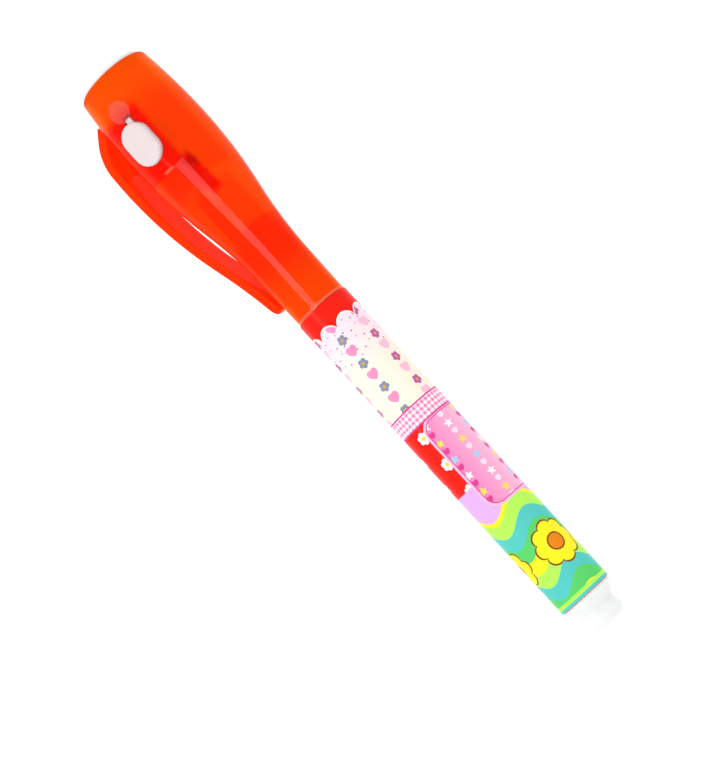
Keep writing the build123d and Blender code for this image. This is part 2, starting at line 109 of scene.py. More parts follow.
bpy.ops.object.select_all(action="DESELECT")
slope = (TOUCH_AT_TAIL - TOUCH_AT_CAP).to_track_quat("X", "Z").to_euler()
bpy.ops.mesh.primitive_plane_add(size=FLOOR_SIZE, location=TOUCH_AT_CAP, rotation=slope)
floor = bpy.context.object
floor.name = "floor"
floor_finish = bpy.data.materials.new("white_acrylic")
floor_finish.use_nodes = True
floor_shader = floor_finish.node_tree.nodes["Principled BSDF"]
floor_shader.inputs["Base Color"].default_value = (FLOOR_GREY, FLOOR_GREY, FLOOR_GREY, 1)
floor_shader.inputs["Roughness"].default_value = 0.9
floor_shader.inputs["Specular IOR Level"].default_value = 0.0
floor_shader.inputs["Emission Color"].default_value = (1, 1, 1, 1)
floor_shader.inputs["Emission Strength"].default_value = FLOOR_GLOW
floor.data.materials.append(floor_finish)
print("floor slope in degrees:", round(degrees(slope.y), 2))

# %% Hang the lights
DOME_STRENGTH = 1.1
LIGHT_PLACE = Vector((-0.035, -0.318, 0.386))
LIGHT_LENGTH = 0.14
LIGHT_WIDTH = 0.03
LIGHT_WATTS = 0.42
EXPOSURE = 0.35

world = bpy.data.worlds.new("white_dome")
world.use_nodes = True
dome = world.node_tree.nodes["Background"]
dome.inputs["Color"].default_value = (1, 1, 1, 1)
dome.inputs["Strength"].default_value = DOME_STRENGTH
bpy.context.scene.world = world

lamp = bpy.data.lights.new("land_panel", "AREA")
lamp.shape = "RECTANGLE"
lamp.energy = LIGHT_WATTS
lamp.size = LIGHT_LENGTH
lamp.size_y = LIGHT_WIDTH
land_panel = bpy.data.objects.new("land_panel", lamp)
land_panel.location = LIGHT_PLACE
land_panel.rotation_euler = (atan2(-LIGHT_PLACE.y, LIGHT_PLACE.z), 0, 0)
bpy.context.scene.collection.objects.link(land_panel)
bpy.context.scene.view_settings.view_transform = "Standard"
bpy.context.scene.view_settings.exposure = EXPOSURE
print("the panel hangs", round(LIGHT_PLACE.length, 3), "m from the pen")

# %% [markdown]
# ## A way to build finishes
# A finish is a small tree of nodes. Each one here starts from Blender's Principled shader, whose sockets
# hold the numbers that are the same all over, and adds what varies over the surface: cloudy colour,
# uneven gloss and a fine bump. The pattern is read in Object coordinates, so it stays on the piece
# wherever the piece goes.

# %% Helpers for finishes
def new_finish(name, **sockets):
    """A material with its shader's sockets set, named as Blender names them with _ for a space."""
    finish = bpy.data.materials.new(name)
    finish.use_nodes = True
    shader = finish.node_tree.nodes["Principled BSDF"]
    for socket, value in sockets.items():
        shader.inputs[socket.replace("_", " ")].default_value = value
    return finish, shader


def cloud(finish, size, stretch=(1, 1, 1), detail=3.0):
    """Noise whose blobs are about so many metres across, drawn out along an axis if asked."""
    nodes, links = finish.node_tree.nodes, finish.node_tree.links
    place = nodes.new("ShaderNodeTexCoord")
    scale = nodes.new("ShaderNodeMapping")
    scale.inputs["Scale"].default_value = [1 / (size * s) for s in stretch]
    noise = nodes.new("ShaderNodeTexNoise")
    noise.inputs["Scale"].default_value = 1.0
    noise.inputs["Detail"].default_value = detail
    links.new(place.outputs["Object"], scale.inputs["Vector"])
    links.new(scale.outputs["Vector"], noise.inputs["Vector"])
    return noise.outputs["Fac"]


def along_pen(finish, start, end):
    """A smooth ramp from 0 to 1 between two stations along the pen, in metres."""
    nodes, links = finish.node_tree.nodes, finish.node_tree.links
    place = nodes.new("ShaderNodeTexCoord")
    split = nodes.new("ShaderNodeSeparateXYZ")
    ramp = nodes.new("ShaderNodeMapRange")
    ramp.interpolation_type = "SMOOTHSTEP"
    ramp.inputs["From Min"].default_value = start
    ramp.inputs["From Max"].default_value = end
    links.new(place.outputs["Object"], split.inputs["Vector"])
    links.new(split.outputs["X"], ramp.inputs["Value"])
    return ramp.outputs["Result"]


def mix_colours(finish, share, first, second):
    """A colour between two, each given as three numbers or as another node's output."""
    nodes, links = finish.node_tree.nodes, finish.node_tree.links
    mix = nodes.new("ShaderNodeMix")
    mix.data_type = "RGBA"
    mix.clamp_factor = True
    for socket, colour in (("A", first), ("B", second)):
        if isinstance(colour, tuple):
            mix.inputs[socket].default_value = (*colour, 1)
        else:
            links.new(colour, mix.inputs[socket])
    links.new(share, mix.inputs["Factor"])
    return mix.outputs["Result"]


def maths(tree, operation, *values):
    """One Math node. Each value is a number or another node's output."""
    node = tree.nodes.new("ShaderNodeMath")
    node.operation = operation
    for socket, value in zip(node.inputs, values):
        if isinstance(value, (int, float)):
            socket.default_value = value
        else:
            tree.links.new(value, socket)
    return node.outputs[0]


def vary_colour(finish, shader, share, first, second):
    """Sends a colour between two to the shader."""
    colour = mix_colours(finish, share, first, second)
    finish.node_tree.links.new(colour, shader.inputs["Base Color"])


def vary_gloss(finish, shader, share, smooth, rough):
    """Lets the roughness swing between two values."""
    nodes, links = finish.node_tree.nodes, finish.node_tree.links
    span = nodes.new("ShaderNodeMapRange")
    span.inputs["To Min"].default_value = smooth
    span.inputs["To Max"].default_value = rough
    links.new(share, span.inputs["Value"])
    links.new(span.outputs["Result"], shader.inputs["Roughness"])


def raise_bump(finish, shader, share, height):
    """Makes the surface look uneven by so many metres."""
    nodes, links = finish.node_tree.nodes, finish.node_tree.links
    bump = nodes.new("ShaderNodeBump")
    bump.inputs["Distance"].default_value = height
    links.new(share, bump.inputs["Height"])
    links.new(bump.outputs["Normal"], shader.inputs["Normal"])


def dress(finish, *nodes):
    """Puts a finish on pieces of the frame."""
    for node in nodes:
        mesh = frame["nodes"][node].data
        mesh.materials.clear()
        mesh.materials.append(finish)
    print(finish.name, "is on", ", ".join(nodes))


# %% [markdown]
# ## See-through red plastic
# The cap and its clip are moulded in tinted plastic. Light goes through the wall and comes back off the
# white holder inside, so the cap is painted more orange round the light, as painted light, than down at
# the neck, where the red spigot behind it is painted in as shade. Part of the light is sent through and
# part is scattered, so the insides show only as soft shapes, which are painted shade: the wall is
# painted redder over the button's well and on the flat land, and darkest, as a painted shadow, where
# the spring lies close behind it. Light caught in the wall comes out at an edge, so the step of the land
# and the cap's mouth get a painted highlight, and the neck is painted paler towards the mouth as painted
# light. Faint streaks run along the pen, the way the melt flowed into the mould.
# Each tone could be painted by hand on the mesh. Here it is a mask worked out from the place on the pen,
# so it needs no extra points, and a number moves it.

# %% Where the button points
way_in = next(joint for joint in frame["joints"] if joint["name"] == "button_press")["axis"]
ROLL = atan2(way_in[1], -way_in[2])
print("the button leans by", round(degrees(ROLL), 2), "degrees")

# %% Tools for places on the cap
LAND_HEAD = -36.2 * MM
LAND_MOUTH = 0.0
SIDE_FADE = 2.5 * MM


def button_frame(finish):
    """The place on the pen as X, Y and Z, turned so that Z is the way the button points."""
    nodes, links = finish.node_tree.nodes, finish.node_tree.links
    place = nodes.new("ShaderNodeTexCoord")
    turned = nodes.new("ShaderNodeMapping")
    turned.vector_type = "TEXTURE"
    turned.inputs["Rotation"].default_value = (ROLL, 0, 0)
    split = nodes.new("ShaderNodeSeparateXYZ")
    links.new(place.outputs["Object"], turned.inputs["Vector"])
    links.new(turned.outputs["Vector"], split.inputs["Vector"])
    return split.outputs


def button_side(finish, edge_at_head, edge_at_mouth, soft):
    """1 on the clip's side of a line down the cap, 0 past the line and on the cap's lower half."""
    nodes, links = finish.node_tree.nodes, finish.node_tree.links
    spot = button_frame(finish)
    edge = nodes.new("ShaderNodeMapRange")
    edge.inputs["From Min"].default_value = LAND_HEAD
    edge.inputs["From Max"].default_value = LAND_MOUTH
    edge.inputs["To Min"].default_value = edge_at_head
    edge.inputs["To Max"].default_value = edge_at_mouth
    links.new(spot["X"], edge.inputs["Value"])
    work = partial(maths, finish.node_tree)
    inside = work("DIVIDE", work("SUBTRACT", edge.outputs["Result"], spot["Y"]), soft)
    share = work("MINIMUM", inside, work("DIVIDE", spot["Z"], SIDE_FADE))
    return work("MINIMUM", work("MAXIMUM", share, 0.0), 1.0)


def band_of_cap(finish, near, far):
    """1 between two lines down the cap, each given by its place across and how soft it is."""
    past_near, past_far = (button_side(finish, edge, edge, soft) for edge, soft in (near, far))
    return maths(finish.node_tree, "SUBTRACT", past_far, past_near)


def stretch_of_pen(finish, start, full, waning, end):
    """1 from one station along the pen to another, in mm, with soft ends."""
    rise = along_pen(finish, start * MM, full * MM)
    fall = along_pen(finish, waning * MM, end * MM)
    return maths(finish.node_tree, "SUBTRACT", rise, fall)


# %% Painted light and shade of the cap along the pen
# Each painted tone starts at one station in mm, is full at the next, and is set by its share of green.
# The head keeps the most orange as painted light from the white holder; the last tone is painted shade
# of the spigot.
PAINTED_LIGHT_TONES = ((-54, -46, 0.075), (-36, -30, 0.068), (-19.6, -18.8, 0.036))

cap_red, cap_shader = new_finish("cap_red", IOR=1.08, Transmission_Weight=0.62)
streaks = cloud(cap_red, 4 * MM, stretch=(4, 1, 1))
red = mix_colours(cap_red, streaks, (1.0, 0.11, 0.001), (1.0, 0.14, 0.002))
for start, full, green in PAINTED_LIGHT_TONES:
    red = mix_colours(cap_red, along_pen(cap_red, start * MM, full * MM), red, (1.0, green, 0.002))
print("tones after the first one:", len(PAINTED_LIGHT_TONES))

# %% Painted shade over the button's well and on the land
WELL_SHADE_EDGE = 4.4 * MM
WELL_SHADE_SOFT = 0.9 * MM
WELL_SHADE_STATIONS = (-51, -48.5, -30.5, -28)
LAND_SHADE_EDGE_AT_HEAD = 1.7 * MM
LAND_SHADE_EDGE_AT_MOUTH = 0.9 * MM
LAND_SHADE_SOFT = 0.3 * MM
LAND_SHADE_STATIONS = (-36.3, -36.1, 0, 1)

times = partial(maths, cap_red.node_tree, "MULTIPLY")
# Painted shade: the wall over the button's well is painted a deeper red.
well_shade_side = button_side(cap_red, WELL_SHADE_EDGE, WELL_SHADE_EDGE, WELL_SHADE_SOFT)
well_shade = times(well_shade_side, stretch_of_pen(cap_red, *WELL_SHADE_STATIONS))
red = mix_colours(cap_red, well_shade, red, (1.0, 0.012, 0.002))
# Painted shade: the flat land is painted redder than the round of the cap.
land_shade_side = button_side(cap_red, LAND_SHADE_EDGE_AT_HEAD, LAND_SHADE_EDGE_AT_MOUTH, LAND_SHADE_SOFT)
land_shade = times(land_shade_side, stretch_of_pen(cap_red, *LAND_SHADE_STATIONS))
red = mix_colours(cap_red, land_shade, red, (1.0, 0.04, 0.002))
print("nodes in the cap's finish so far:", len(cap_red.node_tree.nodes))

# %% Painted shadow of the spring and painted highlight on the step of the land
SHADOW_NEAR = (3.2 * MM, 0.3 * MM)
SHADOW_FAR = (5.3 * MM, 0.5 * MM)
SHADOW_STATIONS = (-37, -35.5, -28.5, -27)
PATCH_SIZE = 2.4 * MM
PATCH_STARTS, PATCH_FULL = 0.4, 0.56
STEP_HIGHLIGHT_NEAR = (-0.7 * MM, 0.3 * MM)
STEP_HIGHLIGHT_FAR = (1.5 * MM, 0.3 * MM)
STEP_HIGHLIGHT_STATIONS = (-36.5, -36.3, -36.15, -35.95)

# Painted shadow where the spring lies close behind the wall.
beside_land = band_of_cap(cap_red, SHADOW_NEAR, SHADOW_FAR)
shadow = times(beside_land, stretch_of_pen(cap_red, *SHADOW_STATIONS))
red = mix_colours(cap_red, shadow, red, (1.0, 0.008, 0.001))
patches = cap_red.node_tree.nodes.new("ShaderNodeMapRange")
patches.inputs["From Min"].default_value = PATCH_STARTS
patches.inputs["From Max"].default_value = PATCH_FULL
cap_red.node_tree.links.new(cloud(cap_red, PATCH_SIZE), patches.inputs["Value"])
red = mix_colours(cap_red, times(shadow, patches.outputs["Result"]), red, (0.7, 0.005, 0.001))
# Painted highlight: a pale line across the land where its step is.
step_highlight_band = band_of_cap(cap_red, STEP_HIGHLIGHT_NEAR, STEP_HIGHLIGHT_FAR)
step_highlight = times(step_highlight_band, stretch_of_pen(cap_red, *STEP_HIGHLIGHT_STATIONS))
red = mix_colours(cap_red, step_highlight, red, (1.0, 0.3, 0.16))
print("nodes in the cap's finish so far:", len(cap_red.node_tree.nodes))

# %% Painted light and highlight at the mouth, and gloss of the cap
MOUTH_LIGHT_START, MOUTH_LIGHT_FULL = -14 * MM, -2 * MM
MOUTH_HIGHLIGHT_START, MOUTH_HIGHLIGHT_FULL = -0.85 * MM, -0.6 * MM

# Painted light: the neck is painted paler towards the mouth.
mouth_painted_light = along_pen(cap_red, MOUTH_LIGHT_START, MOUTH_LIGHT_FULL)
red = mix_colours(cap_red, mouth_painted_light, red, (1.0, 0.1, 0.002))
# Painted highlight: a pale line round the cap's mouth.
mouth_highlight = along_pen(cap_red, MOUTH_HIGHLIGHT_START, MOUTH_HIGHLIGHT_FULL)
vary_colour(cap_red, cap_shader, mouth_highlight, red, (1.0, 0.24, 0.12))
vary_gloss(cap_red, cap_shader, cloud(cap_red, 1.5 * MM), 0.04, 0.09)
raise_bump(cap_red, cap_shader, cloud(cap_red, 2.5 * MM, stretch=(3, 1, 1)), 0.004 * MM)
dress(cap_red, "cap_shell")

# %% Red plastic for the clip
clip_red, shader = new_finish("clip_red", IOR=1.1, Transmission_Weight=0.55)
streaks = cloud(clip_red, 4 * MM, stretch=(4, 1, 1))
vary_colour(clip_red, shader, streaks, (1.0, 0.03, 0.001), (1.0, 0.05, 0.002))
vary_gloss(clip_red, shader, cloud(clip_red, 1.5 * MM), 0.05, 0.12)
raise_bump(clip_red, shader, cloud(clip_red, 2.5 * MM, stretch=(3, 1, 1)), 0.004 * MM)
dress(clip_red, "pocket_clip")

# %% [markdown]
# ## Frosted white plastic
# The cover round the lamp and the plug are soft milky plastic. Light sinks in a little before it comes
# back, which subsurface scattering does, and the skin has the fine grain of a sand-blasted mould.

# %% Frosted plastic for the lamp cover and the plug
frosted, shader = new_finish(
    "frosted_white",
    IOR=1.5,
    Transmission_Weight=0.1,
    Subsurface_Weight=0.4,
    Subsurface_Radius=(1.0, 1.0, 1.0),
    Subsurface_Scale=1.0 * MM,
)
vary_colour(frosted, shader, cloud(frosted, 3 * MM), (0.66, 0.67, 0.665), (0.71, 0.72, 0.715))
vary_gloss(frosted, shader, cloud(frosted, 1 * MM), 0.4, 0.6)
raise_bump(frosted, shader, cloud(frosted, 0.25 * MM), 0.02 * MM)
dress(frosted, "light_lens", "end_plug")

# %% [markdown]
# ## Button and pull tab
# The button is plain white plastic with a satin skin, painted a little pink as a painted reflection of
# the red round it. The tab is a clear film that keeps the cells apart until it is pulled, so it shows by
# its edges and its gloss alone.

# %% White button
button_white, shader = new_finish(
    "button_white",
    IOR=1.5,
    Subsurface_Weight=0.2,
    Subsurface_Scale=0.5 * MM,
)
clouds = cloud(button_white, 2 * MM)
# The white is painted a little pink, a painted reflection of the red round the button.
vary_colour(button_white, shader, clouds, (0.52, 0.44, 0.445), (0.57, 0.485, 0.49))
vary_gloss(button_white, shader, cloud(button_white, 0.6 * MM), 0.3, 0.45)
raise_bump(button_white, shader, cloud(button_white, 0.2 * MM), 0.006 * MM)
dress(button_white, "push_button")

# %% Clear tab
tab_clear, shader = new_finish("tab_clear", IOR=1.3, Alpha=0.08)
vary_colour(tab_clear, shader, cloud(tab_clear, 1 * MM), (0.24, 0.2, 0.2), (0.3, 0.26, 0.26))
vary_gloss(tab_clear, shader, cloud(tab_clear, 0.8 * MM), 0.08, 0.2)
dress(tab_clear, "pull_tab")

# %% [markdown]
# ## The printed film
# The barrel wears a thin printed film. A picture could be wrapped round it, but a print made of
# arithmetic has sharp edges at any size and needs no file. Two numbers place every motif: how far along
# the pen a point is, and how far round it, both in millimetres. A row of motifs is one motif in a
# repeating cell, and each colour is painted over the last through a mask of 0 and 1.

# %% Arithmetic for the print
film, film_shader = new_finish("print_film", IOR=1.15)
film_tree = film.node_tree
calc = partial(maths, film_tree)
paint = partial(mix_colours, film)


def below(value, limit):
    """1 where a value is under its limit, else 0."""
    return calc("LESS_THAN", value, limit)


def above(value, limit):
    """1 where a value is over its limit, else 0."""
    return calc("GREATER_THAN", value, limit)


def both(first, second):
    """1 where two masks are both 1."""
    return calc("MULTIPLY", first, second)


def between(value, low, high):
    """1 where a value lies between two limits."""
    return both(above(value, low), below(value, high))


def outside(mask):
    """The other way round: 1 for 0 and 0 for 1."""
    return calc("SUBTRACT", 1.0, mask)


FILM_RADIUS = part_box("printed_sleeve")[1].z / MM
film_place = film_tree.nodes.new("ShaderNodeTexCoord")
film_split = film_tree.nodes.new("ShaderNodeSeparateXYZ")
film_tree.links.new(film_place.outputs["Object"], film_split.inputs["Vector"])
along = calc("DIVIDE", film_split.outputs["X"], MM)
angle = calc("ARCTAN2", film_split.outputs["Y"], film_split.outputs["Z"])
around = calc("MULTIPLY", angle, FILM_RADIUS)
GIRTH = 2 * pi * FILM_RADIUS
print("film girth in mm:", round(GIRTH, 2))

# %% Motifs for the print
def cell(pitch_along, count_around, shift_along=0.0, shift_around=0.0, half_drop=True):
    """Where a point lies in its cell of a repeat, from the middle of the cell, and the cell's number."""
    pitch_around = GIRTH / count_around
    v = calc("ADD", around, shift_around)
    column = calc("FLOOR", calc("ADD", calc("DIVIDE", v, pitch_around), 0.5))
    step = pitch_along / 2 if half_drop else 0.0
    drop = calc("MULTIPLY", calc("MODULO", calc("ABSOLUTE", column), 2.0), step)
    u = calc("ADD", calc("ADD", along, shift_along), drop)
    row = calc("FLOOR", calc("ADD", calc("DIVIDE", u, pitch_along), 0.5))
    number = calc("ADD", calc("MULTIPLY", row, 2.0), column)
    u = calc("WRAP", u, pitch_along / 2, -pitch_along / 2)
    v = calc("WRAP", v, pitch_around / 2, -pitch_around / 2)
    return u, v, number


def reach(u, v):
    """How far a point is from the middle of its cell."""
    return calc("SQRT", calc("ADD", calc("MULTIPLY", u, u), calc("MULTIPLY", v, v)))


def disc(u, v, radius):
    """A round spot in the middle of the cell."""
    return below(reach(u, v), radius)


def heart(u, v, size):
    """Inside the curve (a^2 + b^2 - 1)^3 = a^2 b^3, with its point towards the plug."""
    a = calc("DIVIDE", v, size)
    b = calc("DIVIDE", u, -size)
    a2 = calc("MULTIPLY", a, a)
    b2 = calc("MULTIPLY", b, b)
    ring = calc("SUBTRACT", calc("ADD", a2, b2), 1.0)
    left = calc("MULTIPLY", calc("MULTIPLY", ring, ring), ring)
    return below(left, calc("MULTIPLY", a2, calc("MULTIPLY", b2, b)))


def daisy(u, v, radius, petals, depth=0.35):
    """A flower whose edge swings in and out once for each petal."""
    swing = calc("ABSOLUTE", calc("COSINE", calc("MULTIPLY", calc("ARCTAN2", v, u), petals / 2)))
    edge = calc("MULTIPLY_ADD", calc("SQRT", swing), radius * depth, radius * (1 - depth))
    return below(reach(u, v), edge)


def star(u, v, radius, points=5, waist=0.45):
    """Straight sides from each point of the star to the waist between two points."""
    half = pi / points
    lean = calc("PINGPONG", calc("ADD", calc("ARCTAN2", v, u), pi), half)
    far = calc("MULTIPLY", calc("SINE", lean), radius)
    near = calc("MULTIPLY", calc("SINE", calc("SUBTRACT", half, lean)), radius * waist)
    edge = calc("DIVIDE", radius * radius * waist * sin(half), calc("ADD", far, near))
    return below(reach(u, v), edge)


def by_turns(number, colours):
    """One colour after another, by the number of the cell."""
    turn_value = calc("FLOORED_MODULO", number, float(len(colours)))
    colour = colours[0]
    for place_in_turn, following in enumerate(colours[1:], 1):
        colour = paint(above(turn_value, place_in_turn - 0.5), colour, following)
    return colour


# %% [markdown]
# The print runs in bands from the cap to the plug: red with a scalloped edge, cream with small hearts
# and flowers, a checked ribbon, a pink panel beside a red field, and stripes of yellow, green and
# turquoise under large yellow flowers. All sizes are in millimetres.

# %% Paint the cream ground
CREAM = (0.706, 0.648, 0.547)
BLUSH = (0.706, 0.562, 0.619)
BLUSH_UNTIL, CREAM_FROM = 6.0, 15.0

fade = film_tree.nodes.new("ShaderNodeMapRange")
fade.inputs["From Min"].default_value = BLUSH_UNTIL
fade.inputs["From Max"].default_value = CREAM_FROM
film_tree.links.new(along, fade.inputs["Value"])
colour = paint(fade.outputs["Result"], BLUSH, CREAM)
print("the ground turns from pink to cream in", CREAM_FROM - BLUSH_UNTIL, "mm")

# %% Paint the dots, hearts and small flowers
WHITE = (0.698, 0.684, 0.677)
ROSE = (0.684, 0.216, 0.396)
PALE_ROSE = (0.698, 0.396, 0.504)
SLATE = (0.18, 0.216, 0.302)
AMBER = (0.576, 0.259, 0.036)
PLUM = (0.396, 0.086, 0.288)
DOT_PITCH, DOTS_AROUND, DOT_RADIUS, DOTS_END = 1.3, 24, 0.17, 12.0
ROW_PITCH, ROW_COUNT, ROW_SHIFT = 5.6, 6, 1.0
HEARTS_SHIFT, HEART_SIZE = 1.0, 0.95
FLOWERS_SHIFT, FLOWER_RADIUS, FLOWER_PETALS, FLOWER_EYE = 3.8, 1.0, 5, 0.3

u, v, number = cell(DOT_PITCH, DOTS_AROUND)
dots = both(disc(u, v, DOT_RADIUS), below(along, DOTS_END))
colour = paint(dots, colour, by_turns(number, [ROSE, PLUM, WHITE]))
u, v, number = cell(ROW_PITCH, ROW_COUNT, HEARTS_SHIFT, ROW_SHIFT)
colour = paint(heart(u, v, HEART_SIZE), colour, by_turns(number, [ROSE, PALE_ROSE]))
u, v, number = cell(ROW_PITCH, ROW_COUNT, FLOWERS_SHIFT, ROW_SHIFT)
colour = paint(daisy(u, v, FLOWER_RADIUS, FLOWER_PETALS), colour, by_turns(number, [SLATE, PLUM]))
colour = paint(disc(u, v, FLOWER_EYE), colour, AMBER)
print("nodes in the print so far:", len(film_tree.nodes))

# %% Paint the scalloped red band
RED = (0.648, 0.009, 0.003)
LOBES, LOBE_DEPTH = 8, 2.0
BAND_END, BAND_LINE = 5.4, 0.35

lobe = calc("ABSOLUTE", calc("SINE", calc("MULTIPLY", angle, LOBES / 2)))
scallop = calc("MULTIPLY_ADD", calc("SQRT", lobe), -LOBE_DEPTH, BAND_END)
colour = paint(below(along, calc("ADD", scallop, BAND_LINE)), colour, WHITE)
colour = paint(below(along, scallop), colour, RED)
print("lobes round the band:", LOBES)

# %% Paint the red field
LILAC = (0.562, 0.324, 0.612)
GOLD = (0.684, 0.504, 0.036)
RIBBON_START, RIBBON_END, RED_END = 24.6, 27.8, 42.3
DAISY_PITCH, DAISIES_AROUND, DAISY_SHIFT_ALONG, DAISY_SHIFT_AROUND = 6.2, 6, 0.8, 2.2
DAISY_RADIUS, DAISY_PETALS, DAISY_EYE = 1.25, 6, 0.42

field = above(along, RIBBON_START)
colour = paint(field, colour, RED)
u, v, number = cell(DAISY_PITCH, DAISIES_AROUND, DAISY_SHIFT_ALONG, DAISY_SHIFT_AROUND)
colour = paint(both(field, daisy(u, v, DAISY_RADIUS, DAISY_PETALS)), colour, WHITE)
colour = paint(both(field, disc(u, v, DAISY_EYE)), colour, GOLD)
colour = paint(above(along, RED_END), colour, LILAC)
print("the red field ends", round(RED_END - RIBBON_START, 1), "mm after the ribbon's start")

# %% Outline of the pink panel
PANEL_END, PANEL_CORNER = 48.4, 3.0
PANEL_MIDDLE, PANEL_HALF = 5.2, 6.9


def rounded_panel(inset):
    """A panel with round corners, drawn smaller by the inset."""
    corner = PANEL_CORNER - inset
    half_along = (PANEL_END - RIBBON_END) / 2 - inset
    half_around = PANEL_HALF - inset
    out_along = calc("ABSOLUTE", calc("SUBTRACT", along, (RIBBON_END + PANEL_END) / 2))
    out_around = calc("ABSOLUTE", calc("SUBTRACT", around, PANEL_MIDDLE))
    u = calc("MAXIMUM", calc("SUBTRACT", out_along, half_along - corner), 0.0)
    v = calc("MAXIMUM", calc("SUBTRACT", out_around, half_around - corner), 0.0)
    return disc(u, v, corner)


# %% Paint the pink panel
HOT_PINK = (0.691, 0.144, 0.36)
PALE_PINK = (0.706, 0.374, 0.518)
DEEP_PINK = (0.518, 0.043, 0.216)
SHELL_PINK = (0.706, 0.54, 0.612)
STRAW = (0.706, 0.54, 0.072)
SKY = (0.252, 0.468, 0.684)
HOT_UNTIL, PALE_FROM = -2.0, 6.0
STAR_PITCH, STARS_AROUND, STAR_SHIFT_AROUND = 3.8, 9, 0.6
STAR_SHIFT, STAR_RADIUS = 1.3, 0.95
SMALL_HEART_SHIFT, SMALL_HEART = 3.2, 0.55
PANEL_RIM, PANEL_LINE = 0.45, 0.65

shade = film_tree.nodes.new("ShaderNodeMapRange")
shade.inputs["From Min"].default_value = HOT_UNTIL
shade.inputs["From Max"].default_value = PALE_FROM
film_tree.links.new(around, shade.inputs["Value"])
panel_fill = paint(shade.outputs["Result"], HOT_PINK, PALE_PINK)
u, v, number = cell(STAR_PITCH, STARS_AROUND, STAR_SHIFT, STAR_SHIFT_AROUND)
panel_fill = paint(star(u, v, STAR_RADIUS), panel_fill, by_turns(number, [STRAW, WHITE, SKY]))
u, v, number = cell(STAR_PITCH, STARS_AROUND, SMALL_HEART_SHIFT, STAR_SHIFT_AROUND)
panel_fill = paint(heart(u, v, SMALL_HEART), panel_fill, by_turns(number, [DEEP_PINK, SHELL_PINK]))
colour = paint(rounded_panel(0.0), colour, PALE_PINK)
colour = paint(rounded_panel(PANEL_RIM), colour, DEEP_PINK)
colour = paint(rounded_panel(PANEL_LINE), colour, panel_fill)
print("nodes in the print so far:", len(film_tree.nodes))

# %% Paint the checked ribbon
CHECKS_AROUND = 36
RIBBON_LINE = 0.3

check_pitch = GIRTH / CHECKS_AROUND
check_along = below(calc("WRAP", along, check_pitch, 0.0), check_pitch / 2)
check_around = below(calc("WRAP", around, check_pitch, 0.0), check_pitch / 2)
check = calc("MULTIPLY", calc("ADD", check_along, check_around), 0.5)
ribbon = paint(check, WHITE, HOT_PINK)
edged = between(along, RIBBON_START - RIBBON_LINE, RIBBON_END + RIBBON_LINE)
colour = paint(edged, colour, DEEP_PINK)
colour = paint(between(along, RIBBON_START, RIBBON_END), colour, ribbon)
print("checks repeat every", round(check_pitch, 2), "mm")

# %% Paint the stripes
YELLOW = (0.72, 0.65, 0.015)
LIME = (0.34, 0.68, 0.08)
MINT = (0.08, 0.48, 0.11)
TURQUOISE = (0.07, 0.44, 0.4)
WAVES, WAVE_HEIGHT, STRIPE_WIDTH = 3.0, 1.3, 2.9

wave = calc("MULTIPLY", calc("SINE", calc("MULTIPLY", angle, WAVES)), WAVE_HEIGHT)
slanted = calc("ADD", along, wave)
stripe_number = calc("FLOOR", calc("DIVIDE", slanted, STRIPE_WIDTH))
stripes = by_turns(stripe_number, [YELLOW, LIME, TURQUOISE, MINT])
tail = above(slanted, PANEL_END)
colour = paint(both(tail, outside(rounded_panel(0.0))), colour, stripes)
print("nodes in the print so far:", len(film_tree.nodes))

# %% Paint the large flowers and the film's end
# One pitch longer than the film leaves a single row of flowers.
BROWN = (0.18, 0.05, 0.014)
ORANGE = (0.612, 0.18, 0.007)
LONE_PITCH, LARGE_AROUND, LARGE_SHIFT_ALONG, LARGE_SHIFT_AROUND = 120.0, 3, -59.3, -3.2
LARGE_OUTLINE, LARGE_RADIUS, LARGE_PETALS, LARGE_DEPTH = 4.6, 4.25, 8, 0.2
EYE_OUTLINE, EYE_RADIUS = 1.75, 1.45
LIME_EDGE, TURQUOISE_EDGE = 1.3, 0.6
FILM_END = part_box("printed_sleeve")[1].x / MM

u, v, number = cell(LONE_PITCH, LARGE_AROUND, LARGE_SHIFT_ALONG, LARGE_SHIFT_AROUND, half_drop=False)
colour = paint(daisy(u, v, LARGE_OUTLINE, LARGE_PETALS, LARGE_DEPTH), colour, BROWN)
colour = paint(daisy(u, v, LARGE_RADIUS, LARGE_PETALS, LARGE_DEPTH), colour, YELLOW)
colour = paint(disc(u, v, EYE_OUTLINE), colour, BROWN)
colour = paint(disc(u, v, EYE_RADIUS), colour, ORANGE)
colour = paint(above(along, FILM_END - LIME_EDGE), colour, LIME)
colour = paint(above(along, FILM_END - TURQUOISE_EDGE), colour, TURQUOISE)
print("nodes in the print:", len(film_tree.nodes))

# %% Put the print on the film
film_tree.links.new(colour, film_shader.inputs["Base Color"])
vary_gloss(film, film_shader, cloud(film, 2 * MM), 0.22, 0.36)
raise_bump(film, film_shader, cloud(film, 3 * MM, stretch=(3, 1, 1)), 0.01 * MM)
dress(film, "printed_sleeve")

# %% [markdown]
# ## Barrel and ink parts
# The barrel is solid red plastic, and its spigot is what shows dark inside the cap's neck. The nib is
# pressed felt and the reservoir a bundle of fibres, so their noise is drawn out along the pen.

# %% Barrel, nib and reservoir
barrel_red, shader = new_finish("barrel_red", IOR=1.5, Specular_IOR_Level=0.3)
streaks = cloud(barrel_red, 4 * MM, stretch=(4, 1, 1))
vary_colour(barrel_red, shader, streaks, (0.62, 0.007, 0.003), (0.73, 0.012, 0.004))
vary_gloss(barrel_red, shader, cloud(barrel_red, 1.5 * MM), 0.22, 0.36)
raise_bump(barrel_red, shader, cloud(barrel_red, 2.5 * MM), 0.006 * MM)
dress(barrel_red, "barrel")


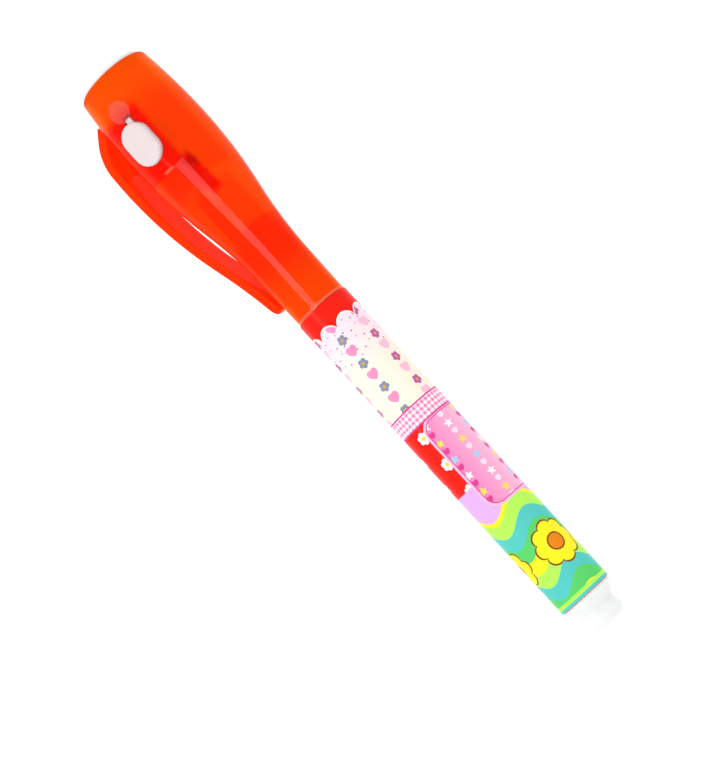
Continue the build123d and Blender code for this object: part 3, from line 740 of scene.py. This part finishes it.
def fibre_finish(name, dark, light, strand):
    """Fibres along the pen, with strands so many metres thick."""
    finish, shader = new_finish(name, Specular_IOR_Level=0.15, Sheen_Weight=0.2)
    strands = cloud(finish, strand, stretch=(12, 1, 1), detail=4.0)
    vary_colour(finish, shader, strands, dark, light)
    vary_gloss(finish, shader, strands, 0.75, 0.95)
    raise_bump(finish, shader, strands, strand / 2)
    return finish


dress(fibre_finish("nib_fibre", (0.7, 0.68, 0.6), (0.93, 0.91, 0.85), 0.15 * MM), "fibre_nib")
dress(fibre_finish("reservoir_fibre", (0.75, 0.74, 0.7), (0.95, 0.94, 0.9), 0.3 * MM), "ink_reservoir")

wrapper_film, shader = new_finish("wrapper_film", IOR=1.45, Transmission_Weight=0.9)
vary_colour(wrapper_film, shader, cloud(wrapper_film, 2 * MM), (0.9, 0.92, 0.92), (0.98, 0.98, 0.98))
vary_gloss(wrapper_film, shader, cloud(wrapper_film, 2 * MM, stretch=(3, 1, 1)), 0.1, 0.25)
dress(wrapper_film, "reservoir_wrapper")

# %% [markdown]
# ## The light unit
# Inside the cap are a cast epoxy lamp with tinned leads, three plated cells, a spring and a brass leaf
# in a white cradle. Metal is the Metallic socket at 1 with a colour, and its brushing is noise drawn
# out along the way that the part was rolled, turned or drawn.

# %% Lamp and holder
lamp_clear, shader = new_finish("lamp_clear", IOR=1.53, Transmission_Weight=0.95)
vary_colour(lamp_clear, shader, cloud(lamp_clear, 1.5 * MM), (0.88, 0.88, 0.98), (0.95, 0.95, 1.0))
vary_gloss(lamp_clear, shader, cloud(lamp_clear, 0.8 * MM), 0.02, 0.08)
dress(lamp_clear, "uv_led")

holder_white, shader = new_finish("holder_white", IOR=1.5)
vary_colour(holder_white, shader, cloud(holder_white, 3 * MM), (0.86, 0.84, 0.8), (0.93, 0.92, 0.89))
vary_gloss(holder_white, shader, cloud(holder_white, 0.8 * MM), 0.4, 0.55)
raise_bump(holder_white, shader, cloud(holder_white, 0.3 * MM), 0.01 * MM)
dress(holder_white, "battery_holder")

# %% Metals
BRUSH_WIDTH = 0.15 * MM
BRUSH_DEPTH = 0.004 * MM


def metal_finish(name, dark, light, smooth, rough, stretch):
    """Bare metal with brushing drawn out along an axis."""
    finish, shader = new_finish(name, Metallic=1.0)
    brushing = cloud(finish, BRUSH_WIDTH, stretch=stretch, detail=4.0)
    vary_colour(finish, shader, brushing, dark, light)
    vary_gloss(finish, shader, brushing, smooth, rough)
    raise_bump(finish, shader, brushing, BRUSH_DEPTH)
    return finish


lead_steel = metal_finish("lead_steel", (0.6, 0.6, 0.6), (0.8, 0.8, 0.79), 0.25, 0.45, (6, 1, 1))
cell_steel = metal_finish("cell_steel", (0.62, 0.62, 0.61), (0.8, 0.8, 0.79), 0.18, 0.34, (1, 8, 8))
spring_steel = metal_finish("spring_steel", (0.5, 0.5, 0.5), (0.72, 0.72, 0.71), 0.22, 0.4, (1, 5, 5))
leaf_brass = metal_finish("leaf_brass", (0.62, 0.44, 0.16), (0.83, 0.65, 0.32), 0.22, 0.4, (8, 1, 1))
dress(lead_steel, "led_cell_lead", "led_switch_lead")
dress(cell_steel, "button_cell_front", "button_cell_middle", "button_cell_rear")
dress(spring_steel, "battery_spring")

# %% [markdown]
# ## The switch leaf
# Under the button lies a strip of springy brass. It rises from a round plate behind the spring, turns
# over the cells and ends free below the button, which pushes it down onto a lead of the lamp. The solid
# model holds it stiff, so a new one is made. It could be a bent plane with a thickness,
# but drawing it out of the plate's own rim keeps it one piece. The free run is drawn out in short steps,
# because a mesh bends only where it has points.

# %% Tools for modelling by hand
MERGE_REACH = 0.001 * MM
SHARP_ANGLE = radians(40)
SMOOTH_ANGLE = radians(30)


def add_to_empty_hand(add, **settings):
    """Adds a primitive with nothing else selected, and settles its place into its mesh."""
    bpy.ops.object.select_all(action="DESELECT")
    add(**settings)
    bpy.ops.object.transform_apply(location=True, rotation=True, scale=True)
    return bpy.context.object


def pick(elements, test):
    """Selects the points or faces of the piece in hand that pass a test."""
    bpy.ops.mesh.select_mode(type="VERT" if elements == "verts" else "FACE")
    bpy.ops.mesh.select_all(action="DESELECT")
    mesh = bmesh.from_edit_mesh(bpy.context.object.data)
    for element in getattr(mesh, elements):
        place = element.co if elements == "verts" else element.calc_center_median()
        if test(place):
            element.select_set(True)
    bmesh.update_edit_mesh(bpy.context.object.data)


def draw_out(x=0.0, z=0.0):
    """Extrudes what is selected along X and Z."""
    bpy.ops.mesh.extrude_region_move(TRANSFORM_OT_translate={"value": (x, 0.0, z)})


def close_up():
    """Merges points that meet, turns all faces outwards and leaves edit mode."""
    bpy.ops.mesh.select_all(action="SELECT")
    bpy.ops.mesh.remove_doubles(threshold=MERGE_REACH)
    bpy.ops.mesh.normals_make_consistent(inside=False)
    bpy.ops.object.mode_set(mode="OBJECT")


def round_edges(piece, width):
    """Bevels the sharp edges of the piece in hand and smooths the rest."""
    rounding = piece.modifiers.new("rounding", "BEVEL")
    rounding.width = width
    rounding.segments = 2
    rounding.limit_method = "ANGLE"
    rounding.angle_limit = SHARP_ANGLE
    bpy.ops.object.modifier_apply(modifier=rounding.name)
    bpy.ops.object.shade_smooth_by_angle(angle=SMOOTH_ANGLE)


def lean_with_button(piece):
    """Turns a piece that was made upright to the way the button points."""
    piece.rotation_euler.x = ROLL
    bpy.ops.object.transform_apply(location=False, rotation=True, scale=False)


def hand_over(piece, name, finish):
    """Names a finished piece and gives it its finish."""
    piece.name = piece.data.name = name
    piece.data.materials.append(finish)
    print(name, "has", len(piece.data.polygons), "faces")


# %% Measure the stiff leaf
LEAF_THICKNESS = 0.3 * MM
LEAF_BEND = 0.8 * MM

upright = Matrix.Rotation(-ROLL, 4, "X")
leaf_points = [upright @ vertex.co for vertex in frame["nodes"]["switch_leaf"].data.vertices]
plate_front = max(point.x for point in leaf_points) - LEAF_THICKNESS
plate_radius = -min(point.z for point in leaf_points)
leaf_tip = min(point.x for point in leaf_points)
leaf_height = max(point.z for point in leaf_points) - LEAF_THICKNESS / 2
bend_middle = Vector((plate_front + LEAF_THICKNESS / 2 - LEAF_BEND, 0, leaf_height - LEAF_BEND))
print("leaf tip and height in mm:", round(leaf_tip / MM, 2), round(leaf_height / MM, 2))

# %% Model the bending leaf
RIM_POINTS = 28
TOP_OF_RIM = 0.9
BEND_STEPS = 6
RUN_STEPS = 12
LEAF_ROUNDING = 0.03 * MM

leaf = add_to_empty_hand(
    bpy.ops.mesh.primitive_circle_add,
    vertices=RIM_POINTS,
    radius=plate_radius,
    fill_type="NGON",
    location=(plate_front, 0, 0),
    rotation=(0, pi / 2, 0),
)
bpy.ops.object.mode_set(mode="EDIT")
bpy.ops.mesh.select_all(action="SELECT")
draw_out(x=LEAF_THICKNESS)
pick("faces", lambda place: place.z > TOP_OF_RIM * plate_radius)
draw_out(z=bend_middle.z - plate_radius)
bpy.ops.transform.resize(value=(1, 1, 0), center_override=bend_middle)
bpy.ops.mesh.spin(steps=BEND_STEPS, angle=pi / 2, center=bend_middle, axis=(0, 1, 0))
for _ in range(RUN_STEPS):
    draw_out(x=(leaf_tip - bend_middle.x) / RUN_STEPS)
close_up()
round_edges(leaf, LEAF_ROUNDING)
lean_with_button(leaf)
print("points in the leaf:", len(leaf.data.vertices))


hand_over(leaf, "bending_leaf", leaf_brass)
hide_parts("switch_leaf")
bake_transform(leaf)

# %% [markdown]
# ## The button's tongue
# At its head end the button has a small white tongue, which slides in the notch of the cap and shows
# beside the pull tab. It could be a plain block, but a moulded one has a rounded nose, so a cube's end
# face is drawn out and made smaller before all its edges are rounded.

# %% Model the tongue
TONGUE_LENGTH, TONGUE_WIDTH, TONGUE_HEIGHT = 1.5 * MM, 1.2 * MM, 1.1 * MM
TONGUE_PROUD = 0.85 * MM
TONGUE_NOSE = 0.2 * MM
TONGUE_TOP = 8.25 * MM
TONGUE_ROUNDING = 0.1 * MM
NOSE_SHARE = 0.7
NOTCH_OFFSET = 1.1 * MM

button_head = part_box("push_button")[0].x
tongue_nose = button_head - TONGUE_PROUD + TONGUE_NOSE
tongue_middle = TONGUE_TOP - TONGUE_HEIGHT / 2
nose_middle = (0, NOTCH_OFFSET, tongue_middle)
tongue = add_to_empty_hand(
    bpy.ops.mesh.primitive_cube_add,
    size=1,
    location=(tongue_nose + TONGUE_LENGTH / 2, NOTCH_OFFSET, tongue_middle),
    scale=(TONGUE_LENGTH, TONGUE_WIDTH, TONGUE_HEIGHT),
)
bpy.ops.object.mode_set(mode="EDIT")
pick("faces", lambda place: place.x < tongue_nose + TONGUE_LENGTH / 4)
draw_out(x=-TONGUE_NOSE)
bpy.ops.transform.resize(value=(1, NOSE_SHARE, NOSE_SHARE), center_override=nose_middle)
close_up()
round_edges(tongue, TONGUE_ROUNDING)
lean_with_button(tongue)
hand_over(tongue, "button_tongue", button_white)
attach(tongue, "button")

# %% [markdown]
# ## Rings on the cells
# A button cell is two metal cups with a plastic ring between them, and the ring shows as a thin line
# round the smaller cup. It could be a torus, but the real ring has flat sides. So one ring is drawn from
# a circle: out to its rim, back over its side, in again, and closed on its own start. Each cell then
# gets a copy with its own mesh.

# %% Plastic for the rings
ring_finish, shader = new_finish("ring_plastic", IOR=1.45)
vary_colour(ring_finish, shader, cloud(ring_finish, 1 * MM), (0.16, 0.3, 0.42), (0.22, 0.38, 0.5))
vary_gloss(ring_finish, shader, cloud(ring_finish, 0.5 * MM), 0.35, 0.5)
raise_bump(ring_finish, shader, cloud(ring_finish, 0.1 * MM), 0.003 * MM)
print(ring_finish.name, "is ready")

# %% Model one ring
RING_INNER = 3.4 * MM
RING_OUTER = 3.62 * MM
RING_DEPTH = 0.12 * MM
RING_POINTS = 72
RING_ROUNDING = 0.03 * MM
CELL_SHOULDER = 0.25 * MM

first_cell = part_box("button_cell_front")[0].x
ring_front = Vector((first_cell + CELL_SHOULDER - RING_DEPTH, 0, 0))


def widen(ratio):
    """Draws the open edge out or in, evenly round the pen's axis."""
    draw_out()
    bpy.ops.transform.resize(value=(1, ratio, ratio), center_override=ring_front)


ring = add_to_empty_hand(
    bpy.ops.mesh.primitive_circle_add,
    vertices=RING_POINTS,
    radius=RING_INNER,
    fill_type="NOTHING",
    location=ring_front,
    rotation=(0, pi / 2, 0),
)
bpy.ops.object.mode_set(mode="EDIT")
bpy.ops.mesh.select_mode(type="EDGE")
bpy.ops.mesh.select_all(action="SELECT")
widen(RING_OUTER / RING_INNER)
draw_out(x=RING_DEPTH)
widen(RING_INNER / RING_OUTER)
draw_out(x=-RING_DEPTH)
close_up()
round_edges(ring, RING_ROUNDING)
print("points in the ring:", len(ring.data.vertices))

# %% Copy the ring to each cell
for place in ("front", "middle", "rear"):
    bpy.ops.object.select_all(action="DESELECT")
    ring.select_set(True)
    bpy.context.view_layer.objects.active = ring
    bpy.ops.object.duplicate(linked=False)
    copy = bpy.context.object
    copy.location.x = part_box("button_cell_" + place)[0].x - first_cell
    bpy.ops.object.transform_apply(location=True, rotation=False, scale=False)
    hand_over(copy, "cell_ring_" + place, ring_finish)
    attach(copy, "cap")
bpy.data.objects.remove(ring)

# %% [markdown]
# ## The lamp's chip
# What glows in such a lamp is a chip smaller than a grain of sand, on the flat end of one lead, with a
# metal pad on its face. It is a cube made low, with its front face inset and drawn out a little for the
# pad.

# %% Model the chip
CHIP_SIZE = 0.36 * MM
CHIP_HEIGHT = 0.16 * MM
PAD_MARGIN = 0.1 * MM
PAD_HEIGHT = 0.02 * MM
CHIP_ROUNDING = 0.006 * MM
CUP_FACE_DEPTH = 0.01 * MM

lead_points = [vertex.co for vertex in frame["nodes"]["led_cell_lead"].data.vertices]
cup_front = min(point.x for point in lead_points)
cup_face = [point for point in lead_points if point.x < cup_front + CUP_FACE_DEPTH]
chip_place = Vector((
    cup_front - CHIP_HEIGHT / 2,
    (min(point.y for point in cup_face) + max(point.y for point in cup_face)) / 2,
    (min(point.z for point in cup_face) + max(point.z for point in cup_face)) / 2,
))
chip = add_to_empty_hand(
    bpy.ops.mesh.primitive_cube_add,
    size=CHIP_SIZE,
    location=chip_place,
    rotation=(ROLL, 0, 0),
    scale=(CHIP_HEIGHT / CHIP_SIZE, 1, 1),
)
bpy.ops.object.mode_set(mode="EDIT")
pick("faces", lambda place: place.x < chip_place.x - CHIP_HEIGHT / 4)
bpy.ops.mesh.inset(thickness=PAD_MARGIN)
draw_out(x=-PAD_HEIGHT)
close_up()
round_edges(chip, CHIP_ROUNDING)
chip_finish = metal_finish("chip_violet", (0.16, 0.1, 0.3), (0.3, 0.2, 0.5), 0.15, 0.3, (1, 1, 1))
hand_over(chip, "lamp_chip", chip_finish)
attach(chip, "cap")

# %% [markdown]
# ## The film's lap
# A printed film is wrapped round the barrel and overlaps itself in a narrow lap, which is kept on the
# underside. It could be a flat strip that is bent, but it follows the barrel best when it starts round.
# A circle that is a little wider than the film loses all its points but those of the lap, is drawn out
# along the barrel, and is then given the thickness of the film.

# %% Model the lap
LAP_HALF_ANGLE = radians(11)
LAP_THICKNESS = 0.05 * MM
LAP_GAP = 0.01 * MM
LAP_INSET = 0.1 * MM
CIRCLE_POINTS = 360

film_low, film_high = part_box("printed_sleeve")
lap_radius = film_high.z + LAP_GAP + LAP_THICKNESS / 2
lap = add_to_empty_hand(
    bpy.ops.mesh.primitive_circle_add,
    vertices=CIRCLE_POINTS,
    radius=lap_radius,
    fill_type="NOTHING",
    location=(film_low.x + LAP_INSET, 0, 0),
    rotation=(0, pi / 2, 0),
)
bpy.ops.object.mode_set(mode="EDIT")
pick("verts", lambda place: place.z > -lap_radius * cos(LAP_HALF_ANGLE))
bpy.ops.mesh.delete(type="VERT")
bpy.ops.mesh.select_mode(type="EDGE")
bpy.ops.mesh.select_all(action="SELECT")
draw_out(x=film_high.x - film_low.x - 2 * LAP_INSET)
close_up()
wall = lap.modifiers.new("film", "SOLIDIFY")
wall.thickness = LAP_THICKNESS
wall.offset = 0
bpy.ops.object.modifier_apply(modifier=wall.name)
bpy.ops.object.shade_smooth_by_angle(angle=SMOOTH_ANGLE)
hand_over(lap, "film_lap", film)
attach(lap, "pen")

# %% [markdown]
# ## The plug's gate mark
# Where the melt entered the plug's mould, the sprue was snipped off and left a small round mark with a
# hollow in it. A short cylinder has its end face inset and pushed back in.

# %% Model the gate mark
GATE_RADIUS = 0.9 * MM
GATE_DEPTH = 0.3 * MM
GATE_PROUD = 0.1 * MM
GATE_LIP = 0.3 * MM
GATE_HOLLOW = GATE_PROUD / 2
GATE_POINTS = 48
GATE_ROUNDING = 0.03 * MM

plug_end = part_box("end_plug")[1].x
gate = add_to_empty_hand(
    bpy.ops.mesh.primitive_cylinder_add,
    vertices=GATE_POINTS,
    radius=GATE_RADIUS,
    depth=GATE_DEPTH,
    location=(plug_end + GATE_PROUD - GATE_DEPTH / 2, 0, 0),
    rotation=(0, pi / 2, 0),
)
bpy.ops.object.mode_set(mode="EDIT")
pick("faces", lambda place: place.x > plug_end + GATE_PROUD / 2)
bpy.ops.mesh.inset(thickness=GATE_LIP)
bpy.ops.transform.translate(value=(-GATE_HOLLOW, 0, 0))
close_up()
round_edges(gate, GATE_ROUNDING)
hand_over(gate, "plug_gate_mark", frosted)
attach(gate, "pen")
